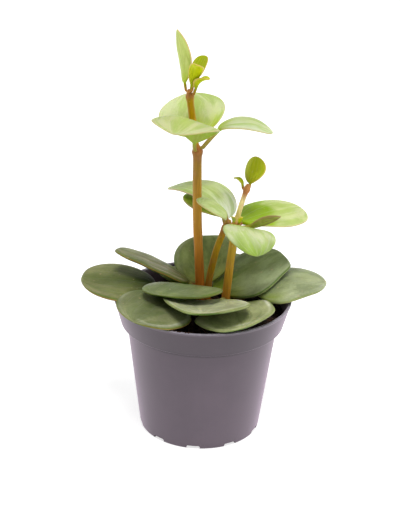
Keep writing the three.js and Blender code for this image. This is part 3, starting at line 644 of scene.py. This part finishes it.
def pot():
    """The pot's shell, with numbers that say where its lip is rubbed and painted lighter as a highlight,
    where its band and the strip under it are painted darker as shade, and where it is soiled and, inside,
    painted with shade.
    """
    height, neck, band, lip, wall, floor = POT.height, POT.neck, POT.band, POT.lip, POT.wall, POT.floor
    step = height - POT.band_height
    lip_inside = lip - POT.lip_width
    # Radius, z and rounding of each corner, up the outside, over the lip and down the inside.
    corners = [
        (0, 0, 0), (POT.foot - 0.1, 0, 0.9), (neck, step, 0.35), (band - 0.2, step + 0.2, 1.1),
        (band + 0.12, step + 1.6, 1.2), (lip - 0.42, height - 1.3, 0.4), (lip, height - 0.75, 0.35),
        (lip, height, 0.5), (lip_inside, height, 0.45), (lip_inside - 0.25, height - 0.9, 0.5),
        (band - wall, step + 2.1, 0.8), (neck - wall, step + 0.6, 0.5),
        (wall_radius(floor) - wall, floor, 1.2), (0, floor, 0),
    ]
    obj = mesh_object("pot_shell", *lathe(divided(fillet(corners), POT_STEP), POT_SIDES))
    cut(obj, drain_tools())
    mesh = obj.data
    at = np.zeros(len(mesh.vertices) * 3)
    mesh.vertices.foreach_get("co", at)
    x, y, z = at.reshape(-1, 3).T / MM
    r = np.hypot(x, y)
    # Where the painted shadow under the rim band's lower edge lies.
    band_shadow_mask = smooth(step - 2.5, step - 1.5, z) * smooth(step + 1.3, step + 0.4, z)
    inside = r < np.where(z > step, band_radius(z), wall_radius(z)) - 0.6 * wall
    add_numbers(mesh, {
        # edge: the lip, painted lighter, partly as wear and partly as a highlight.
        "edge": near(z, height, 0.5) * (r > lip - 2),
        # band: the rim band, which is painted darker as shade.
        "band": smooth(step - 0.4, step + 0.4, z),
        "shadow_under_band": band_shadow_mask * (r > neck - 0.6),
        # Inside the rim this is peat film and painted shade. Round the foot it is dirt.
        "soiled_and_shaded": np.maximum(smooth(height - 1.0, height - 3.5, z) * inside, 0.25 * near(z, 1.0, 1.6)),
    })
    mesh.shade_smooth()
    mesh.set_sharp_from_angle(angle=radians(32))
    finish_piece(obj, pot_material(), ["pot"])


# ---- Soil ----

SOIL_SIDES, SOIL_RINGS = 260, 100
SOIL_GAP = 0.3  # between the soil and the pot
SOIL_EDGE = 39.0  # radius where the surface meets the pot
FALL_START, FALL = 35.5, 0.7  # radius from which the surface falls to the pot, and how far
CRUMBS, SPILT_CRUMBS = 1100, 12
CRUMB_REACH, CRUMB_LIMIT = 38.6, 39.2  # radius for the middle of a crumb, and the one it stays within
STEM_CLEARANCE = 2.2  # how far a crumb stays from the middle of a stem
FIBRES, FIBRE_REACH, FIBRE_LIMIT = 90, 37, 38.4
FIBRE_SIDES, FIBRE_STEPS, FEWEST_STEPS = 6, 9, 4


def rough_soil(x, y):
    """The solid's lumpy surface with a crumbly grain on it."""
    mound = SOIL_LEVEL + SOIL_MOUND * (1 - (np.hypot(x, y) / POT.neck) ** 2)
    lumps = (np.sin(0.55 * x + 1.3) * np.cos(0.47 * y - 0.4)
             + 0.6 * np.sin(0.9 * x - 0.8 * y + 2.1) * np.cos(1.1 * y + 0.5 * x))
    grain = 0.35 * ripple(11, x, y, 4.2) + 0.28 * np.abs(ripple(12, x, y, 2.3)) + 0.18 * ripple(13, x, y, 1.2)
    return mound + SOIL_LUMP * lumps + grain - 0.25


def soil_top(x, y):
    """The visible surface, which falls a little to the pot."""
    return rough_soil(x, y) - FALL * smooth(FALL_START, SOIL_EDGE, np.hypot(x, y))


def soil():
    step = POT.height - POT.band_height
    bottom = POT.floor + SOIL_GAP
    foot, neck = (wall_radius(z) - POT.wall - SOIL_GAP for z in (bottom, step))
    side = [(0, bottom), (foot - 1.2, bottom), (foot - 0.2, bottom + 1.1), (neck - 0.2, step + 1),
            (POT.band - 1.8, step + 2.9), (SOIL_EDGE, SOIL_LEVEL - 0.9)]
    top = [(r, SOIL_LEVEL) for r in np.linspace(SOIL_EDGE, 0, SOIL_RINGS)[1:]]
    points, faces, uvs = lathe(np.array(side + top), SOIL_SIDES)
    above = points[:, 2] >= SOIL_LEVEL - 1e-6
    points[above, 2] = soil_top(*points[above, :2].T)
    peat = soil_material("peat_dark", rgb(30, 20, 20), rgb(66, 44, 36), 260)
    finish_piece(mesh_object("peat", points, faces, uvs), peat, ["soil"])


def on_disc(rng, reach):
    """Radius and angle of an even random place on a disc."""
    return reach * sqrt(rng.uniform()), rng.uniform(0, 2 * pi)


def crumbs(rng):
    """Loose crumbs of peat on the soil, the first few of them on the pot's lip."""
    ball = bmesh.new()
    bmesh.ops.create_icosphere(ball, subdivisions=2, radius=1)
    unit = np.array([v.co[:] for v in ball.verts])
    sheet = [[v.index for v in f.verts] for f in ball.faces]
    ball.free()
    feet = [stations[1][:2] for stations in STEMS.values()]
    bodies = []
    while len(bodies) < CRUMBS:
        spilt = len(bodies) < SPILT_CRUMBS
        r, turn = on_disc(rng, CRUMB_REACH)
        size = 0.28 + 0.75 * rng.uniform() ** 3
        if spilt:
            r, turn = POT.lip - POT.lip_width / 2, radians(rng.uniform(247, 263))
            size = min(size, 0.5)
        x, y = r * cos(turn), r * sin(turn)
        by_stem = min(dist((x, y), foot) for foot in feet) < STEM_CLEARANCE + size
        if not spilt and (r + size > CRUMB_LIMIT or by_stem):
            continue
        stretch = np.array([1, rng.uniform(0.6, 1), rng.uniform(0.45, 0.8)])
        spin = Matrix.Rotation(rng.uniform(0, 6.28), 3, "Z") @ Matrix.Rotation(rng.uniform(-0.6, 0.6), 3, "X")
        seed = rng.randint(1 << 30)
        bumpy = 1 + 0.28 * ripple(seed, unit[:, 0] + 0.7 * unit[:, 2], unit[:, 1] - 0.5 * unit[:, 2], 1.4)
        shape = (unit * bumpy[:, None] * stretch * size) @ np.array(spin).T
        ground = POT.height + 0.2 * size if spilt else float(soil_top(x, y))
        bodies.append((shape + [x, y, ground + 0.15 * size], sheet))
    crumb = soil_material("peat_crumb", rgb(38, 25, 22), rgb(84, 56, 42), 420)
    finish_piece(mesh_object("peat_crumbs", *joined(bodies)), crumb)


def fibres(rng):
    """Bent fibres that lie on the soil."""
    bodies = []
    for _ in range(FIBRES):
        r, turn = on_disc(rng, FIBRE_REACH)
        way, bend = rng.uniform(0, 2 * pi), rng.uniform(-0.35, 0.35)
        length, thick = rng.uniform(2.5, 7), rng.uniform(0.09, 0.2)
        at = np.array([r * cos(turn), r * sin(turn)])
        line = []
        for i in range(FIBRE_STEPS):
            if np.hypot(*at) < FIBRE_LIMIT:
                line.append([*at, float(rough_soil(*at)) + 0.25 + thick * sin(i)])
            way += bend * 0.5
            at = at + length / FIBRE_STEPS * np.array([cos(way), sin(way)])
        if len(line) >= FEWEST_STEPS:
            radii = thick * np.sin(np.linspace(0.25, pi - 0.25, len(line)))
            bodies.append(tube(np.array(line), radii[:, None] * np.ones(FIBRE_SIDES))[:2])
    fibre = soil_material("peat_fibre", rgb(70, 44, 28), rgb(128, 88, 56), 500)
    finish_piece(mesh_object("peat_fibres", *joined(bodies)), fibre)


# ---- Stems ----

STEM_SIDES, STEM_STEP = 40, 0.55
THINNEST = 0.4  # least radius of a stem
FLUTES, FLUTE_DEPTH = 5, 0.035


def curve_through(stations, z):
    """x, y, z and radius at heights z, on a smooth curve through the stations."""
    stations = np.array(stations, float)
    heights = stations[:, 2]
    slopes = np.gradient(stations, heights, axis=0)
    i = np.clip(np.searchsorted(heights, z) - 1, 0, len(heights) - 2)
    gap = (heights[i + 1] - heights[i])[:, None]
    t = (z - heights[i])[:, None] / gap
    a, rise, start, end = stations[i], stations[i + 1] - stations[i], gap * slopes[i], gap * slopes[i + 1]
    return a + t * start + t**2 * (3 * rise - 2 * start - end) + t**3 * (start + end - 2 * rise)


def stem(name, material):
    """A slightly uneven stem, with its nodes and, on its upper part, faint flutes."""
    z = np.arange(STEMS[name][0][2], STEMS[name][-1][2], STEM_STEP)
    at = curve_through(STEMS[name], z)
    turn = circle(STEM_SIDES)
    radii = np.clip(at[:, 3], THINNEST, None)[:, None] * np.ones(STEM_SIDES)
    seed = sum(map(ord, name))
    radii = radii * (1 + 0.022 * ripple(seed, np.cos(turn) * 2, z[:, None] * 0.3, 3.2))
    for node in NODES[name]:
        # A node swells a little and has a fine scar line round it.
        radii = radii + (0.12 * near(z, node, 1.5) - 0.09 * near(z, node + 0.9, 0.28))[:, None]
    flutes = FLUTE_DEPTH * np.cos(FLUTES * turn + 0.03 * z[:, None]) * smooth(60, 75, z)[:, None]
    points, faces, uvs = tube(at[:, :3], radii + flutes)
    heights, colours = zip(*STEM_TONES[name])
    tone = np.stack([np.interp(points[:, 2], heights, channel) for channel in linear(colours).T], -1)
    obj = mesh_object(f"stem_{name}_skin", points, faces, uvs, tone=tone)
    finish_piece(obj, material, [f"stem_{name}"])


# ---- Leaves ----

SIDES, ROOT_RINGS, STALK_RINGS, BLADE_RINGS = 84, 4, 10, 56
WALK_STEPS = 240  # small steps in which the midrib is walked
LONGEST_ROOT = 3.5  # how far a stalk's foot may run on into the stem
CORNER = 8  # how sharply a blade's round outline turns into its straight stretch
# Rounding of a blade's margin and tip, thinning to its tip and depth of the midrib's groove, as shares of its
# thickness.
EDGE_ROUND, TIP_ROUND, TIP_THINNING, GROOVE_DEPTH = 0.8, 0.7, 0.2, 0.1
MARGIN_WAVE, MARGIN_WAVELENGTH = 0.012, 14  # share of the half-width, and millimetres
FACE_WAVE, FACE_WAVELENGTH = 0.009, 0.75  # shares of the width
THICK = 2  # above this thickness a leaf has a green band of painted shade and a painted highlight round its margin
LOTS = 97  # places in the pattern of fresher streaks


def outline(u, ends):
    """Half-width of one side of a blade as a share of its widest, from its foot (0) to its tip (1)."""
    foot, tip = ends
    widest = foot / (foot + tip)
    return u**foot * (1 - u) ** tip / (widest**foot * (1 - widest) ** tip)


def straightened(share, u, cut):
    """The smaller of a side's half-width and its straight stretch's, with a rounded corner between."""
    line = lerp(cut[0], cut[1], u)
    return (np.maximum(share, 1e-6) ** -CORNER + line**-CORNER) ** (-1 / CORNER)


def pointing(compass, slope):
    """Unit vectors from their compass angles and slopes in radians."""
    return np.stack([np.cos(slope) * np.cos(compass), np.cos(slope) * np.sin(compass), np.sin(slope)], -1)


def leaf_frames(name, s):
    """The ways ahead, left and up at distances s along a leaf from its stalk's foot."""
    _, _, heading, rise, stalk, length, _, shape = LEAVES[name]
    u = np.clip((s - stalk) / length, 0, 1)
    on_stalk = lerp(rise[0], rise[1], np.clip(s / stalk, 0, 1))
    slope = np.radians(np.where(s < stalk, on_stalk, lerp(rise[1], rise[2], u ** shape["bend"])))
    compass = np.radians(heading + shape["sweep"] * u)
    forward = pointing(compass, slope)
    level = np.stack([-np.sin(compass), np.cos(compass), 0 * s], -1)
    turn = np.radians(shape["roll"] * smooth(0, stalk, s) + shape["twist"] * u)[:, None]
    side = level * np.cos(turn) + np.cross(forward, level) * np.sin(turn)
    return forward, side, np.cross(forward, side)


def half_width(name, u, which):
    """Half-width of the leaf's left or right side at shares u of its blade."""
    width, shape = LEAVES[name][6:]
    lean = shape["lean"] if which == "left" else -shape["lean"]
    share = (1 + lean) * outline(u, shape.get(which, shape.get("ends")))
    if f"{which}_cut" in shape:
        share = straightened(share, u, shape[f"{which}_cut"])
    return np.hypot(shape["stalk_radius"] * (1 - u) ** 2, width / 2 * share)[:, None]


def middle_line(name, share):
    """Distances of a leaf's rings from its stalk's foot, the points there and the tip, from the rings' shares
    of the blade. Where a distance is below 0 the stalk runs on into the stem."""
    stem_name, height, heading, rise, stalk, length, _, shape = LEAVES[name]
    stations = np.array(STEMS[stem_name], float)
    x, y, z, radius = (np.interp(height, stations[:, 2], column) for column in stations.T)
    way, tilt = pointing(radians(heading), 0), radians(rise[0])
    start = np.array([x, y, z]) + way * (radius + LEAF_SEAT + shape["stalk_radius"] * abs(sin(tilt)))
    root = min(LONGEST_ROOT, (LEAF_SEAT + 0.75 * radius) / max(0.35, cos(tilt)))
    s = np.concatenate([
        np.linspace(-root, 0, ROOT_RINGS, endpoint=False), np.linspace(0, stalk, STALK_RINGS, endpoint=False),
        stalk + length * share])
    walk = (stalk + length) / WALK_STEPS
    steps = leaf_frames(name, (np.arange(WALK_STEPS) + 0.5) * walk)[0] * walk
    midrib = np.vstack([start, start + np.cumsum(steps, 0)])

    inner, reached = np.clip(s, 0, None), np.arange(WALK_STEPS + 1) * walk
    centre = np.stack([np.interp(inner, reached, column) for column in midrib.T], -1)
    sunk = np.clip(-s, 0, None)[:, None]
    return s, centre - sunk * (0.45 * leaf_frames(name, inner)[0] + 0.55 * way), midrib[-1]


def leaf_paint(name, tones, seed, thickness, at):
    """The colour of each point of a leaf by its place, and the share of the margin in it.

    across runs from -1 at the right margin to 1 at the left, over from -1 below to 1 above, and along and
    up_stalk from 0 to 1. edge, x and y are millimetres to the margin, from the midrib and from the foot.
    """
    tone = {key: linear(value) for key, value in tones.items()}

    def paint_over(paint, key, share):
        return lerp(paint, tone[key], share[..., None])

    inner = near(at.across, 0, 0.45) * np.clip(1.15 - at.along, 0, 1) ** 0.7
    inner = inner * (0.75 + 0.25 * ripple(seed + 2, at.x, at.y, 9))
    paint = paint_over(tone["top"], "middle", np.clip(inner, 0, 1))
    reach_out, full, slant = FOOT_EDGE.get(name, USUAL_FOOT_EDGE)
    from_foot = at.along - slant * at.across + 0.1 * ripple(seed + 3, at.x, at.along, 7)
    paint = paint_over(paint, "foot", smooth(reach_out, full, from_foot))
    if "tip" in tone:
        to_tip = smooth(0.5, 1.05, at.along + 0.08 * ripple(seed + 5, at.x, at.along, 7))
        paint = paint_over(paint, "tip", to_tip)
    below = paint_over(tone["under"], "foot", smooth(0.4, 0.0, at.along))
    on_blade = smooth(0.03, 0.12, at.along)
    rim = near(at.edge, 0, 0.2 + 0.1 * thickness) * on_blade
    if thickness > THICK:
        # The band is painted darker as shade and has a thin line of the margin's colour. The painted
        # highlight is uneven and mostly on the leaf's left.
        # Painted shade: the side of the margin is painted a darker green, standing in for the shade it lies
        # in.
        band = paint_over(below, "side", smooth(-0.55, -0.2, at.over))
        paint = lerp(paint, band, smooth(0.34, 0.2, at.over)[..., None])
        paint = paint_over(paint, "rim", 0.75 * on_blade * near(at.over, 0, 0.13))
        # Painted highlight: a paler line just inside the margin, where the rounded edge would catch the
        # light.
        painted_highlight = near(at.edge, 0.75 * thickness, 0.28 * thickness) * smooth(0.2, 0.36, at.over) * on_blade
        painted_highlight = painted_highlight * (0.45 + 0.75 * ripple(seed + 4, at.x, at.y, 16))
        painted_highlight = painted_highlight * lerp(0.25, 1, smooth(-0.6, 0.2, at.across))
        paint = paint_over(paint, "painted_highlight", np.clip(painted_highlight, 0, 0.85))
    else:
        paint = lerp(paint, below, smooth(0.12, -0.12, at.over)[..., None])
        paint = paint_over(paint, "rim", 0.85 * rim)
    stalk_paint = paint_over(tone["heel"], "stalk", smooth(0.0, 0.75, at.up_stalk))
    stalk_paint = paint_over(stalk_paint, "foot", smooth(0.8, 1.0, at.up_stalk))
    return np.where((at.up_stalk < 1)[..., None], stalk_paint, paint), rim


def leaf(name, material, tones):
    """A leaf with its stalk: a closed body of rings across a middle line."""
    _, _, _, _, stalk, length, width, shape = LEAVES[name]
    thickness, stalk_radius = shape["thickness"], shape["stalk_radius"]
    seed = sum((i + 1) * ord(c) for i, c in enumerate(name))
    s, centre, tip = middle_line(name, (1 - np.cos(np.pi * np.arange(BLADE_RINGS) / BLADE_RINGS)) / 2)
    u = np.clip((s - stalk) / length, 0, 1)
    along = u[:, None] * np.ones(SIDES)
    y = u[:, None] * length
    around = circle(SIDES)
    sine, cosine = np.sin(around), np.cos(around)

    # The outline, with a slightly wavy margin.
    reach = np.where(cosine > 0, half_width(name, u, "left"), half_width(name, u, "right"))
    wavy = 1 + MARGIN_WAVE * ripple(seed, y, np.sign(cosine) * 30, MARGIN_WAVELENGTH)
    reach = reach * lerp(1, wavy, smooth(0, 0.3, u)[:, None])
    x = reach * cosine

    # The thickness, rounded off at the margin and at the tip.
    to_edge, to_tip = reach - np.abs(x), (1 - u) * length
    thick = lerp(stalk_radius, thickness / 2 * (1 - TIP_THINNING * u), smooth(0, 0.18, u))
    blunt = np.clip(to_tip / (TIP_ROUND * thickness), 0, 1)
    thick = (thick * np.sqrt(np.clip(1 - (1 - blunt) ** 2, 0, 1)))[:, None]
    rounding = np.minimum(reach, EDGE_ROUND * thickness)
    face = np.sqrt(np.clip(1 - (1 - np.clip(to_edge / rounding, 0, 1)) ** 2, 0, 1))
    face = face * (0.8 + 0.2 * sine**2) * np.sign(sine)

    # The bent face, with a groove along the midrib and broad waves.
    out = x / (width / 2)
    z = thick * face + shape["cup"] * out**2 + shape["curl"] * out**3
    on_blade = smooth(0.02, 0.25, u)[:, None]
    groove = on_blade * np.clip(1 - u, 0, 1)[:, None] ** 0.6 * near(x, 0, 0.05 * width + 0.5)
    z = z - thickness * GROOVE_DEPTH * groove * (smooth(0, 0.3, sine) + smooth(0, 0.3, -sine))
    z = z + FACE_WAVE * width * on_blade * ripple(seed + 1, x, y, FACE_WAVELENGTH * width)
    _, side, up = leaf_frames(name, np.clip(s, 0, None))
    rings = centre[:, None] + side[:, None] * x[..., None] + up[:, None] * z[..., None]
    points, faces, uvs = skin(centre[0], rings, tip)

    at = SimpleNamespace(
        across=cosine + 0 * along, over=sine + 0 * along, along=along, x=x, y=y,
        up_stalk=np.clip(s / stalk, 0, 1)[:, None], edge=np.minimum(to_edge, to_tip[:, None]))
    paint, rim = leaf_paint(name, tones, seed, thickness, at)
    tone = np.vstack([paint[:1, 0], paint.reshape(-1, 3), paint[-1:, 0]])
    fields = {"across": at.across, "over": at.over, "half_width": reach, "rim": rim}
    numbers = {key: ringed(0, values, 0) for key, values in fields.items()}
    numbers |= {"along": ringed(0, along, 1), "lot": [seed % LOTS] * len(points)}
    obj = mesh_object(f"leaf_{name}_blade", points, faces, uvs, numbers, tone)
    finish_piece(obj, material, [f"leaf_{name}"])


# ---- The object ----

pot()
soil()
loose = np.random.RandomState(5)
crumbs(loose)
fibres(loose)
stem_skin = stem_material()
for stem_name in STEMS:
    stem(stem_name, stem_skin)
old_leaf = leaf_material(
    "leaf_old_skin", patch=rgb(72, 96, 34), patch_share=0.35, vein=rgb(150, 162, 106), vein_share=0.06,
    speck=rgb(196, 168, 134), speck_share=0.45, mottle=0.15, rough=0.36, waxy=0.07, shine=0.1, gloss=0.12)
young_leaf = leaf_material(
    "leaf_young_skin", patch=rgb(156, 188, 48), patch_share=0.55, vein=rgb(226, 236, 186), vein_share=0.16,
    speck_share=0.2, rough=0.4, shine=0.22, gloss=0.05)
crown_leaf = leaf_material(
    "leaf_crown_skin", patch=rgb(146, 168, 0), patch_share=0.4, vein=rgb(220, 220, 120), vein_share=0.12,
    speck_share=0.15, rough=0.42, shine=0.12, gloss=0.04)
# Material and usual tones by how a leaf's name starts. The last row holds for all the others.
KINDS = [(("low",), old_leaf, OLD_TONES), (("top_", "bud_", "twig_"), crown_leaf, CROWN_TONES),
         (("",), young_leaf, YOUNG_TONES)]
for leaf_name in LEAVES:
    skin_material, usual = next(kind[1:] for kind in KINDS if leaf_name.startswith(kind[0]))
    leaf(leaf_name, skin_material, {**usual, **TONES.get(leaf_name, {})})

# ---- Floor, light and camera ----

HALF_FLOOR = 12000
corners = [(HALF_FLOOR * x, HALF_FLOOR * y, 0) for x, y in ((-1, -1), (1, -1), (1, 1), (-1, 1))]
floor = mesh_object("floor", corners, [(0, 1, 2, 3)])
# White paper that glows a little.
paper = Shader("floor_paper")
white = paper.mix(paper.noise(6, detail=3), rgb(204, 204, 204), rgb(208, 208, 208))
paper.set(Base_Color=white, Roughness=0.7, Specular_IOR_Level=0.2, Emission_Color=rgb(255, 255, 255),
          Emission_Strength=0.7)
floor.data.materials.append(paper.material)

scene = bpy.context.scene
scene.view_settings.view_transform = "Standard"
scene.world = bpy.data.worlds.new("studio")
scene.world.use_nodes = True
sky = scene.world.node_tree.nodes["Background"]
sky.inputs["Color"].default_value = (1, 1, 1, 1)
sky.inputs["Strength"].default_value = 0.33

# Wide soft lights from far off: compass angle, height above the floor and spread in degrees, and strength.
LIGHTS = {"top_light": (-85, 72, 24, 1.85), "right_light": (-15, 35, 35, 0.4),
          "right_rim_light": (30, 18, 50, 0.8), "left_rim_light": (150, 18, 50, 0.6)}
for light_name, (compass, height, spread, strength) in LIGHTS.items():
    lamp = bpy.data.lights.new(light_name, "SUN")
    lamp.angle, lamp.energy = radians(spread), strength
    towards = Vector(pointing(radians(compass), radians(height)))
    add_object(light_name, lamp).rotation_euler = towards.to_track_quat("Z", "Y").to_euler()

# The camera stands half a metre in front and looks down on the plant.
DISTANCE, HEIGHT = 0.503, 0.297
PITCH, ROLL, YAW = radians(22.45), radians(1.61), radians(-0.22)
FOCAL_PIXELS, FRAME_PIXELS, SENSOR = 1154, 506, 36
camera = add_object("camera", bpy.data.cameras.new("camera"))
camera.data.sensor_width = SENSOR
camera.data.lens = SENSOR * FOCAL_PIXELS / FRAME_PIXELS
place = Matrix.Translation((0, -DISTANCE, HEIGHT))
for angle, axis in ((-YAW, "Z"), (radians(90) - PITCH, "X"), (ROLL, "Z")):
    place = place @ Matrix.Rotation(angle, 4, axis)
camera.matrix_world = place
scene.camera = camera
